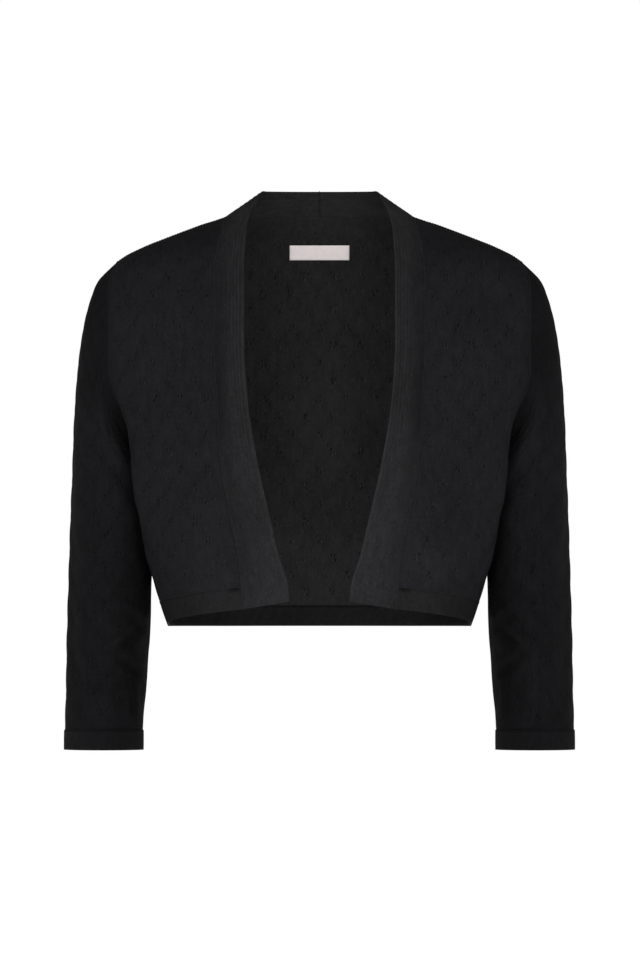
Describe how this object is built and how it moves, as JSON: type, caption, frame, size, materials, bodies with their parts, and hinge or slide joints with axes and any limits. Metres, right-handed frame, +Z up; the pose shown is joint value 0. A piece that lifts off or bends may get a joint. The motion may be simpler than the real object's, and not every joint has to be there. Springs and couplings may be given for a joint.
{
  "type": "knitted shrug",
  "caption": "Cropped open-front knitted shrug with three-quarter sleeves, pointelle diamond lattice, ribbed front and neck band, hem and cuffs.",
  "frame": {"origin": "on the shoulder line of the wearer, midway between the two neck corners", "axes": "+Z up; the front faces -Y; the wearer's left is at +X"},
  "size_m": [0.4856, 0.22, 0.5304],
  "materials": {
    "lattice_knit": "matt fine-gauge pointelle knit, near black",
    "rib_knit": "matt fine rib knit, charcoal black",
    "label_satin": "soft satin woven label, pale pink grey, bare"
  },
  "bodies": {
    "root": {"back": "lattice_knit", "front_left": "lattice_knit", "front_right": "lattice_knit", "sleeve_left": "lattice_knit", "sleeve_right": "lattice_knit", "band_left": "rib_knit", "band_right": "rib_knit", "hem_back": "rib_knit", "hem_front_left": "rib_knit", "hem_front_right": "rib_knit", "cuff_left": "rib_knit", "cuff_right": "rib_knit", "neck_label": "label_satin"}
  },
  "joints": []
}
